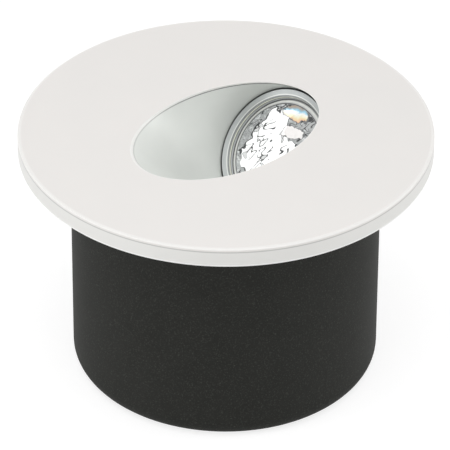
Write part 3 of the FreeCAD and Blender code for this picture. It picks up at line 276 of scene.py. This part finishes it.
def powder_coat(name):
    """Warm white satin powder coat: painted highlights on its edges, a painted grey shade line
    under the rim, orange peel.
    """
    finish = Finish(name, (0.80, 0.785, 0.765), roughness=0.42)
    place = finish.place()
    across, along, height = finish.parts(place)
    depth = PLATE_TOP - height
    mottle = finish.noise(place, size=9 * MM, detail=3)

    warm_top = finish.blend(mottle, (0.81, 0.79, 0.77), (0.84, 0.815, 0.79))
    cool_side = finish.blend(mottle, (0.80, 0.795, 0.77), (0.83, 0.825, 0.80))
    side = finish.fade(depth, low=0.5 * MM, high=0.7 * MM)
    coat = finish.blend(side, warm_top, cool_side)
    # Painted shade: a grey line along the side just under the rim's bevel.
    rim_shade_line = finish.line(depth, centre=0.72 * MM, half_width=0.16 * MM) * 0.5
    coat = finish.blend(rim_shade_line, coat, (0.35, 0.355, 0.34))

    # Painted highlights: the rim of the top face, the foot of the side and the opening's lip are
    # lightened towards white.
    edges = (
        outer_edge_highlight(finish, depth, length_of(across, along))
        + lower_edge_highlight(finish, depth)
        + opening_lip_highlight(finish, across, along)
    ).math("MINIMUM", 1.0)
    finish.feed("Base Color", finish.blend(edges * 0.85, coat, (0.96, 0.96, 0.945)))

    orange_peel = finish.noise(place, size=0.5 * MM)
    finish.bump(orange_peel, depth=0.004 * MM, strength=0.6)
    finish.feed("Roughness", 0.38 + mottle * 0.1)
    return finish.material


def outer_edge_highlight(finish, depth, radius):
    """A painted highlight on the rim of the plate's top face."""
    top = 1 - finish.fade(depth, low=0.25 * MM, high=0.35 * MM)
    rim = finish.fade(radius, low=PLATE_RADIUS - 0.8 * MM, high=PLATE_RADIUS - 0.5 * MM)
    return top * rim * 0.4


def lower_edge_highlight(finish, depth):
    """A painted highlight on the lowest part of the plate's side."""
    return finish.fade(depth, low=PLATE_THICKNESS - 0.6 * MM, high=PLATE_THICKNESS - 0.45 * MM)


def opening_lip_highlight(finish, across, along):
    """A painted highlight on the lip round the plate's opening, which is an ellipse: its edge is
    where reach is 1.
    """
    reach = length_of(
        across / OPENING_HALF_WIDTH,
        (along - OPENING_MIDDLE) / OPENING_HALF_LENGTH,
    )
    return (1 - finish.fade(reach, low=1.002, high=1.010)) * 0.75


def sleeve_plastic(name):
    """Black moulded plastic with a fine spark grain that catches light in specks."""
    finish = Finish(name, (0.02, 0.02, 0.018), roughness=0.5, specular_ior_level=0.15)
    place = finish.place()
    grain = finish.noise(place, size=0.32 * MM, detail=3, roughness=0.7)
    cloud = finish.noise(place, size=5 * MM, detail=3)
    dark = finish.blend(cloud, (0.0150, 0.0155, 0.0135), (0.0215, 0.022, 0.0195))
    specks = finish.fade(grain, low=0.50, high=0.72)
    finish.feed("Base Color", finish.blend(specks, dark, (0.046, 0.048, 0.042)))
    finish.feed("Roughness", 0.62 + grain * 0.15)
    finish.bump(grain, depth=0.03 * MM, strength=0.5)
    return finish.material


def satin_silver(name):
    """The scoop: satin anodised metal, with painted shadow in the seams beside the plate and the
    lens ring.
    """
    finish = Finish(name, (0.8, 0.82, 0.8), metallic=0.25, roughness=0.38)
    place = finish.place()
    on_lens = finish.on_lens()
    _, along, height = finish.parts(place)
    _, _, out = finish.parts(on_lens)
    grain = finish.noise(on_lens, size=0.25)
    cloud = finish.noise(on_lens, size=4.0)
    silver = finish.blend(cloud, (0.785, 0.805, 0.775), (0.825, 0.845, 0.815))

    # Painted shadow: the seam under the plate's lip darkens, more towards the lamp end, and so does
    # the seam beside the lens ring.
    near_lamp = finish.fade(along, low=-14 * MM, high=10 * MM) * 0.65 + 0.2
    plate_seam_shadow = 1 - finish.fade(PLATE_TOP - height, low=0.55 * MM, high=0.72 * MM)
    ring_seam_shadow = 1 - finish.fade(out, low=-0.25, high=0.05)
    shadow = (plate_seam_shadow * near_lamp + ring_seam_shadow * 0.7).math("MINIMUM", 1.0)
    finish.feed("Base Color", finish.blend(shadow, silver, SEAM_SHADOW_BLACK))

    finish.feed("Roughness", 0.36 + grain * 0.05)
    finish.bump(grain, depth=0.001 * MM, strength=0.3)
    return finish.material


def turned_silver(name):
    """The lens ring: fine turning marks, a painted shade line beside a painted highlight at the
    band's inner edge, a painted shade line at its outer edge, and painted reflections on its inner
    wall.
    """
    finish = Finish(name, (0.6, 0.62, 0.61), metallic=0.25, roughness=0.36)
    across, up, out = finish.parts(finish.on_lens())
    radius = length_of(across, up)
    marks = finish.noise(finish.joined(radius, out, 0.0), size=0.12)
    band = finish.blend(marks, (0.40, 0.42, 0.42), (0.51, 0.53, 0.53))

    # The inner wall gets painted reflections of the glass's edge.
    inside = 1 - finish.fade(radius, low=RING_WALL - 0.05, high=RING_WALL + 0.05)
    band = finish.blend(inside, band, ring_wall_painted_reflections(finish, out))
    # A painted highlight along the band's inner edge.
    ring_edge_highlight = finish.line(radius, centre=RING_WALL + 0.35, half_width=0.12)
    band = finish.blend(ring_edge_highlight * 0.7, band, (0.82, 0.83, 0.80))

    # Painted shade: a line in the groove, and the ring's outer edge beside the gap to the scoop.
    ring_outer_shade = finish.fade(radius, low=RING_EDGE - 0.04, high=RING_EDGE + 0.04)
    groove_shade_line = finish.line(radius, centre=RING_WALL + 0.1, half_width=0.12)
    lines = (groove_shade_line * 0.6 + ring_outer_shade * 0.7).math("MINIMUM", 1.0)
    finish.feed("Base Color", finish.blend(lines, band, (0.03, 0.032, 0.034)))
    finish.feed("Roughness", 0.33 + marks * 0.1)
    finish.bump(marks, depth=0.004 * MM, strength=0.6)
    return finish.material


def ring_wall_painted_reflections(finish, out):
    """Painted reflections on the ring's inner wall: bands that mirror the glass's edge, from its
    top down.
    """
    return finish.ramp((RING_WALL_TOP - out) / RING_WALL_DEPTH, [
        (0.0, (0.64, 0.66, 0.67)),
        (0.14, (0.14, 0.145, 0.15)),
        (0.26, (0.95, 0.95, 0.86)),
        (0.46, (0.95, 0.94, 0.82)),
        (0.58, (0.14, 0.14, 0.14)),
        (0.74, (0.62, 0.64, 0.65)),
        (1.0, (0.50, 0.52, 0.53)),
    ])


def hammered_glass(name):
    """Pressed glass over a bright reflector, painted: the reflector's light as white that glows,
    with painted dark reflections in curls where the relief is steep.
    """
    finish = Finish(
        name,
        (0.9, 0.92, 0.92),
        roughness=0.06,
        ior=1.5,
        coat_weight=0.4,
        coat_roughness=0.03,
        emission_strength=0.25,
    )
    lens = finish.on_lens()
    across, up, _ = finish.parts(lens)
    radius = length_of(across, up)
    relief = finish.noise(
        finish.moved(lens, shift=(9, 5, 0)), size=3.0, detail=0.6, roughness=0.4, distortion=0.5
    )
    mottle = finish.noise(lens, size=0.8, detail=2.5, roughness=0.6, distortion=1.2)
    drops = finish.noise(
        finish.moved(lens, shift=(3, 21, 0)), size=1.7, detail=0.5, distortion=0.8
    )
    long_turn = math.radians(-30)
    strokes = finish.noise(
        finish.moved(lens, shift=(12, 29, 0), turn=(0, 0, long_turn), scale=(1, 2.2, 1)),
        size=1.9,
        detail=0.0,
        distortion=1.6,
    )

    # Painted light: white where the reflector's light shows through, greys and painted dark
    # reflections elsewhere.
    bright = painted_reflector_light(finish, relief, across, up)
    white = finish.fade(bright, low=0.53, high=0.545)
    dark = painted_dark_reflections(finish, lens, bright, strokes, drops)
    base = finish.blend(white, painted_glass_shade(finish, mottle), (0.98, 0.985, 0.99))
    # Painted grey reflections in small drops, then the painted dark reflections.
    base = finish.blend(finish.fade(drops, low=0.69, high=0.71) * 0.7, base, (0.36, 0.37, 0.375))
    base = finish.blend(dark * 0.95, base, DARK_REFLECTION_BLACK)
    base = painted_light_patches(finish, base, lens)
    at_rim = finish.fade(radius, low=GLASS_RIM - 0.02, high=GLASS_RIM + 0.04)
    base = finish.blend(at_rim, base, glass_rim_painted_light(finish, radius))
    finish.feed("Base Color", base)

    # A painted glow: the white of the painted reflector light emits.
    glow = white * (1 - dark) * (1 - at_rim)
    finish.feed("Emission Color", finish.blend(glow, (0, 0, 0), (1, 1, 1)))
    finish.feed("Roughness", 0.05 + mottle * 0.1)
    finish.bump(relief + strokes * 0.6, depth=0.35 * MM, strength=0.7)
    return finish.material


def painted_reflector_light(finish, relief, across, up):
    """How much painted light of the reflector a point shows: most in the middle, least at the lobe
    and rim.
    """
    radius = length_of(across, up)
    middle = 1 - finish.fade(radius, low=5.5, high=9.6)
    lobe = 1 - finish.fade(length_of(across - 2.0, up - 6.2), low=2.4, high=4.4)
    border = finish.fade(radius, low=8.5, high=9.6)
    return relief + middle * 0.27 - lobe * 0.34 - border * 0.12


def painted_dark_reflections(finish, lens, bright, strokes, drops):
    """Painted dark reflections: the outline of the painted white light, curls, small rings and fine
    specks.
    """
    patches = finish.noise(finish.moved(lens, shift=(5, 43, 0)), size=3.2, detail=1)
    fine = finish.noise(
        finish.moved(lens, shift=(17, 3, 0)), size=1.1, detail=2, distortion=1.5
    )
    outline = finish.line(bright, centre=0.535, half_width=0.024)
    outline = outline * finish.fade(patches, low=0.3, high=0.42)
    curls = finish.line(strokes, centre=0.5, half_width=0.05)
    curls = curls * finish.fade(patches, low=0.47, high=0.50)
    specks = finish.line(fine, centre=0.5, half_width=0.012)
    specks = specks * (1 - finish.fade(patches, low=0.44, high=0.50))
    rings = finish.line(drops, centre=0.69, half_width=0.02)
    return (outline + curls + rings + specks * 0.3).math("MINIMUM", 1.0)


def painted_glass_shade(finish, mottle):
    """The painted shade greys of the glass where it doesn't show the reflector's light."""
    return finish.ramp(mottle, [
        (0.3, (0.16, 0.165, 0.17)),
        (0.42, (0.42, 0.43, 0.435)),
        (0.56, (0.50, 0.515, 0.52)),
        (0.68, (0.85, 0.87, 0.87)),
    ])


def glass_rim_painted_light(finish, radius):
    """Painted highlight and shade bands on the lens's bevelled rim, from the hammered face
    outwards.
    """
    return finish.ramp((radius - GLASS_RIM) / GLASS_RIM_WIDTH, [
        (0.0, (0.42, 0.435, 0.44)),
        (0.08, (0.06, 0.062, 0.065)),
        (0.15, (0.07, 0.07, 0.07)),
        (0.22, (0.50, 0.51, 0.51)),
        (0.6, (0.88, 0.89, 0.85)),
        (0.76, (0.50, 0.51, 0.51)),
        (0.88, (0.08, 0.08, 0.08)),
    ])


def painted_light_patches(finish, base, lens):
    """Two painted patches of light that the glass throws: one of split light, and below it one of
    blush white.
    """
    drift = finish.node(
        "ShaderNodeTexNoise", {}, {"Vector": lens, "Scale": 0.7, "Detail": 2.0}, output="Color"
    )
    wobbly = finish.node(
        "ShaderNodeVectorMath", {"operation": "MULTIPLY_ADD"}, [drift, (1.6, 1.6, 0.0), lens]
    )
    prism_turn = math.radians(8)
    prism = finish.moved(
        wobbly, shift=(0.1, 9.1, 0), turn=(0, 0, prism_turn), scale=(3.2, 1.45, 1)
    )
    base = outlined_light_patch(finish, base, prism, prism_colors(finish, prism))
    blush_turn = math.radians(16)
    blush = finish.moved(
        wobbly, shift=(1.9, 5.4, 0), turn=(0, 0, blush_turn), scale=(2.7, 1.05, 1)
    )
    return outlined_light_patch(finish, base, blush, (0.98, 0.945, 0.94))


def outlined_light_patch(finish, base, local, color):
    """A rounded painted patch of light that runs from -1 to 1 both ways, with a dark outline."""
    across, up, _ = finish.parts(local)
    reach = abs(across) ** 3.0 + abs(up) ** 3.0
    outline = finish.line(reach, centre=1.0, half_width=0.36) * 0.7
    inside = 1 - finish.fade(reach, low=0.75, high=1.0)
    base = finish.blend(outline, base, LIGHT_PATCH_OUTLINE)
    return finish.blend(inside, base, color)


def prism_colors(finish, local):
    """The colours of split light, orange below to blue above."""
    across, up, _ = finish.parts(local)
    height = up * 0.5 + 0.5 - across * 0.14
    return finish.ramp(height, [
        (0.02, (0.88, 0.55, 0.36)),
        (0.16, (0.92, 0.76, 0.46)),
        (0.34, (0.95, 0.92, 0.72)),
        (0.52, (1.0, 1.0, 0.98)),
        (0.68, (0.34, 0.66, 0.86)),
        (0.80, (0.36, 0.42, 0.44)),
        (0.95, (0.44, 0.35, 0.28)),
    ])


def plain_finish(name, color, darker=0.85, **uniform):
    """A finish with a little variation in colour and gloss, for the small parts."""
    finish = Finish(name, color, **uniform)
    place = finish.place()
    cloud = finish.noise(place, size=1.5 * MM, detail=3)
    shade = tuple(channel * darker for channel in color)
    finish.feed("Base Color", finish.blend(cloud, shade, color))
    rough = uniform["roughness"]
    finish.feed("Roughness", rough * 0.85 + cloud * (rough * 0.3))
    grain = finish.noise(place, size=0.3 * MM)
    finish.bump(grain, depth=0.005 * MM, strength=0.5)
    return finish.material


def cast_metal(name):
    """Die-cast metal: a dull skin with flow marks and pits."""
    finish = Finish(name, (0.55, 0.56, 0.57), metallic=1.0, roughness=0.5)
    place = finish.place()
    flow = finish.noise(place, size=7 * MM, detail=4, distortion=0.8)
    pits = finish.noise(place, size=0.4 * MM, detail=2)
    finish.feed("Base Color", finish.blend(flow, (0.46, 0.47, 0.48), (0.60, 0.61, 0.62)))
    finish.feed("Roughness", 0.42 + pits * 0.2)
    finish.bump(pits, depth=0.02 * MM, strength=0.5)
    return finish.material


def circuit_board(name, color):
    """Solder mask over copper tracks."""
    finish = Finish(name, color, roughness=0.35)
    place = finish.place()
    staggered = {"offset": 0.37, "squash": 1.6, "squash_frequency": 3}
    cells = finish.node("ShaderNodeTexBrick", staggered, {
        "Vector": place,
        "Color1": (0, 0, 0, 1),
        "Color2": (0, 0, 0, 1),
        "Mortar": (1, 1, 1, 1),
        "Scale": 1.0,
        "Mortar Size": 0.16 * MM,
        "Brick Width": 3.6 * MM,
        "Row Height": 1.3 * MM,
    })
    cloud = finish.noise(place, size=2 * MM, detail=3)
    tracks = cells * finish.fade(cloud, low=0.4, high=0.5)
    lighter = tuple(min(1, channel * 1.5 + 0.01) for channel in color)
    finish.feed("Base Color", finish.blend(tracks, color, lighter))
    finish.feed("Roughness", 0.28 + cloud * 0.15)
    finish.bump(tracks, depth=0.03 * MM, strength=0.6)
    return finish.material


def wound_tape(name):
    """Yellow tape wound round a coil, in laps."""
    finish = Finish(name, (0.8, 0.6, 0.08), roughness=0.3)
    _, _, height = finish.parts(finish.place())
    laps = finish.noise(finish.joined(height, 0.0, 0.0), size=0.5 * MM)
    finish.feed("Base Color", finish.blend(laps, (0.70, 0.50, 0.05), (0.86, 0.67, 0.12)))
    finish.feed("Roughness", 0.22 + laps * 0.2)
    finish.bump(laps, depth=0.05 * MM, strength=0.5)
    return finish.material


FINISHES = {
    "white_coat": powder_coat,
    "sleeve_plastic": sleeve_plastic,
    "silver": satin_silver,
    "ring_metal": turned_silver,
    "lens_glass": hammered_glass,
    "cast_metal": cast_metal,
    "green_board": lambda name: circuit_board(name, (0.03, 0.17, 0.07)),
    "lamp_board": lambda name: circuit_board(name, (0.8, 0.8, 0.78)),
    "yellow_tape": wound_tape,
}

# The finishes of the small parts: a colour, and what plain_finish sets for it.
SMALL_FINISHES = {
    "black_rubber": ((0.022, 0.022, 0.022), {"roughness": 0.7}),
    "mirror_coat": ((0.92, 0.92, 0.92), {"darker": 0.96, "roughness": 0.12, "metallic": 1.0}),
    "led_white": ((0.85, 0.85, 0.82), {"roughness": 0.3}),
    "led_yellow": ((0.85, 0.62, 0.08), {"roughness": 0.35}),
    "thermal_silicone": ((0.34, 0.40, 0.46), {"roughness": 0.65}),
    "steel": ((0.62, 0.62, 0.60), {"roughness": 0.28, "metallic": 1.0}),
    "ferrite": ((0.07, 0.07, 0.072), {"darker": 0.6, "roughness": 0.6}),
    "capacitor_sleeve": ((0.03, 0.045, 0.14), {"roughness": 0.25}),
    "chip_black": ((0.022, 0.022, 0.025), {"darker": 0.7, "roughness": 0.5}),
    "terminal_green": ((0.04, 0.28, 0.11), {"roughness": 0.35}),
    "brass": ((0.75, 0.57, 0.28), {"roughness": 0.3, "metallic": 1.0}),
    "red_wire": ((0.5, 0.03, 0.02), {"roughness": 0.35}),
    "black_wire": ((0.022, 0.022, 0.022), {"roughness": 0.35}),
    "gland_nylon": ((0.03, 0.03, 0.031), {"darker": 0.7, "roughness": 0.5}),
}


def make_materials():
    """One material for each slot of the record."""
    materials = {slot: make(slot) for slot, make in FINISHES.items()}
    for slot, (color, settings) in SMALL_FINISHES.items():
        materials[slot] = plain_finish(slot, color, **settings)
    return materials


# ---------------------------------------------------------------- pieces

def record_slot(node):
    """The material slot that the record gives a node."""
    subparts = frame["record"]["subparts"]
    return next(item["material_slot"] for item in subparts if item["node"] == node)


def dress_nodes(materials):
    """Gives each solid of the frame the finish of its material slot."""
    for node, solid in frame["nodes"].items():
        for material_slot in solid.material_slots:
            material_slot.material = materials[record_slot(node)]


def lens_profile():
    """The lens's half section from its back's centre round to its front's centre."""
    outline = [
        (0, LENS_BACK),
        (LENS_RADIUS, LENS_BACK),
        (LENS_RADIUS, LENS_FLANGE),
        (LENS_BEVEL_FOOT, LENS_FLANGE),
    ]
    for step in range(LENS_STEPS + 1):
        share = 1 - step / LENS_STEPS
        outline.append((LENS_FACE_RADIUS * share, LENS_FACE + LENS_CROWN * (1 - share * share)))
    return outline


def hammered(position):
    """How far the pressed relief lifts a point of the lens's front, in metres."""
    swirl = noise.noise_vector(position / SWIRL_SIZE) * 0.9
    blobs = noise.noise(position / BLOB_SIZE + swirl)
    ripple = noise.noise(position / RIPPLE_SIZE + swirl)
    edge = min(1, (LENS_FACE_RADIUS - position.xy.length) / PLAIN_MARGIN)
    return (blobs * BLOB_HEIGHT + ripple * RIPPLE_HEIGHT) * MM * max(0, edge)


def make_lens(material):
    """The lens: a flat flange, and a front face pressed with a hammered relief."""
    mesh_data = turned(lens_profile(), LENS_SEGMENTS)
    noise.seed_set(RELIEF_SEED)
    for vert in mesh_data.verts:
        if vert.co.z > LENS_FACE - 0.01 * MM:
            vert.co.z += hammered(vert.co)
    mesh_data.transform(LENS_FRAME)
    lens = finish_piece("hammered_lens", mesh_data, smooth_angle=50)
    lens.data.materials.append(material)
    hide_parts("lens")
    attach(lens, "light")


# ---------------------------------------------------------------- stage

CAMERA_TURN = math.radians(49.0)
CAMERA_RISE = math.radians(33.426)
CAMERA_DISTANCE = 0.799
LOOK_TURN = math.radians(49.008)
LOOK_RISE = math.radians(34.734)
CAMERA_ROLL = math.radians(0.33)
CAMERA_LENS = 333.1
SENSOR = 36.0
LAMP_TARGET = Vector((0, 0, 0.03))
FLOOR_DROP = 0.05 * MM
FLOOR_GLOW = 1.3
FLOOR_GLOW_SHARE = 0.6
WORLD_LIGHT = 0.48
WORLD_SEEN = 1.0


def direction(turn, rise):
    """The unit vector at a turn round Z from -Y, and a rise above level."""
    level = math.cos(rise)
    return Vector((math.sin(turn) * level, -math.cos(turn) * level, math.sin(rise)))


def make_camera():
    """The camera stands at a turn and a rise round the plate, and looks a little aside of it."""
    camera_data = bpy.data.cameras.new("camera")
    camera_data.sensor_width = SENSOR
    camera_data.lens = CAMERA_LENS
    camera = bpy.data.objects.new("camera", camera_data)
    back = direction(LOOK_TURN, LOOK_RISE)
    right = Vector((math.cos(LOOK_TURN), math.sin(LOOK_TURN), 0))
    up = back.cross(right)
    turned_right = right * math.cos(CAMERA_ROLL) + up * math.sin(CAMERA_ROLL)
    turned_up = up * math.cos(CAMERA_ROLL) - right * math.sin(CAMERA_ROLL)
    turn = Matrix((turned_right, turned_up, back)).transposed().to_4x4()
    place = Vector((0, 0, PLATE_TOP)) + direction(CAMERA_TURN, CAMERA_RISE) * CAMERA_DISTANCE
    camera.matrix_world = Matrix.Translation(place) @ turn
    bpy.context.scene.collection.objects.link(camera)
    bpy.context.scene.camera = camera


def seen_rays(tree):
    """1 for the rays of the camera, of reflections and through glass, 0 for the rest."""
    path = tree.nodes.new("ShaderNodeLightPath")
    seen = path.outputs["Is Camera Ray"]
    for label in ("Is Glossy Ray", "Is Transmission Ray"):
        either = tree.nodes.new("ShaderNodeMath")
        either.operation = "MAXIMUM"
        tree.links.new(seen, either.inputs[0])
        tree.links.new(path.outputs[label], either.inputs[1])
        seen = either.outputs[0]
    return seen


def make_floor():
    """A plain pale floor, which the camera sees nearly white, with the object's soft shadow."""
    mesh_data = bmesh.new()
    bmesh.ops.create_grid(mesh_data, x_segments=1, y_segments=1, size=2.0)
    bmesh.ops.translate(mesh_data, verts=mesh_data.verts, vec=(0, 0, -FLOOR_DROP))
    floor = finish_piece("floor", mesh_data, smooth_angle=30)
    finish = Finish("floor_paint", (0.9, 0.9, 0.9), roughness=0.9)
    seen = Socket(finish, seen_rays(finish.tree))
    paint = Socket(finish, finish.shader.outputs["BSDF"])
    glow = finish.node(
        "ShaderNodeEmission", {}, {"Color": (1, 1, 1, 1), "Strength": FLOOR_GLOW}
    )
    mixed = finish.node("ShaderNodeMixShader", {}, [seen * FLOOR_GLOW_SHARE, paint, glow])
    surface = finish.tree.nodes["Material Output"].inputs["Surface"]
    finish.tree.links.new(mixed.link, surface)
    floor.data.materials.append(finish.material)


def make_world():
    """A pale surround: dimmer as a light than as what the camera and gloss see."""
    world = bpy.data.worlds.new("surround")
    world.use_nodes = True
    tree = world.node_tree
    shade = tree.nodes["Background"]
    shade.inputs["Color"].default_value = (1, 1, 1, 1)
    level = tree.nodes.new("ShaderNodeMapRange")
    level.inputs["To Min"].default_value = WORLD_LIGHT
    level.inputs["To Max"].default_value = WORLD_SEEN
    tree.links.new(seen_rays(tree), level.inputs["Value"])
    tree.links.new(level.outputs[0], shade.inputs["Strength"])
    bpy.context.scene.world = world


def softbox(name, aside, rise, distance, width, height, level):
    """A rectangular lamp that faces the light. It stands aside of the camera and above level by
    its angles in degrees, and level is what it adds to a white surface that faces it."""
    lamp_data = bpy.data.lights.new(name, "AREA")
    lamp_data.shape = "RECTANGLE"
    lamp_data.size = width
    lamp_data.size_y = height
    lamp_data.energy = level * math.pi ** 2 * distance ** 2
    lamp = bpy.data.objects.new(name, lamp_data)
    back = direction(CAMERA_TURN + math.radians(aside), math.radians(rise))
    turn = back.to_track_quat("Z", "Y").to_matrix().to_4x4()
    lamp.matrix_world = Matrix.Translation(LAMP_TARGET + back * distance) @ turn
    bpy.context.scene.collection.objects.link(lamp)


def make_lamps():
    """Soft studio light: one large box overhead and two at the camera's sides."""
    softbox("overhead", aside=-10, rise=73, distance=0.5, width=0.45, height=0.45, level=0.52)
    softbox("left_box", aside=-69, rise=13, distance=1.0, width=0.3, height=0.44, level=0.22)
    softbox("right_box", aside=88, rise=13, distance=1.0, width=0.3, height=0.44, level=0.2)


materials = make_materials()
dress_nodes(materials)
make_lens(materials["lens_glass"])
make_camera()
make_floor()
make_world()
make_lamps()
bpy.context.scene.view_settings.view_transform = "Standard"
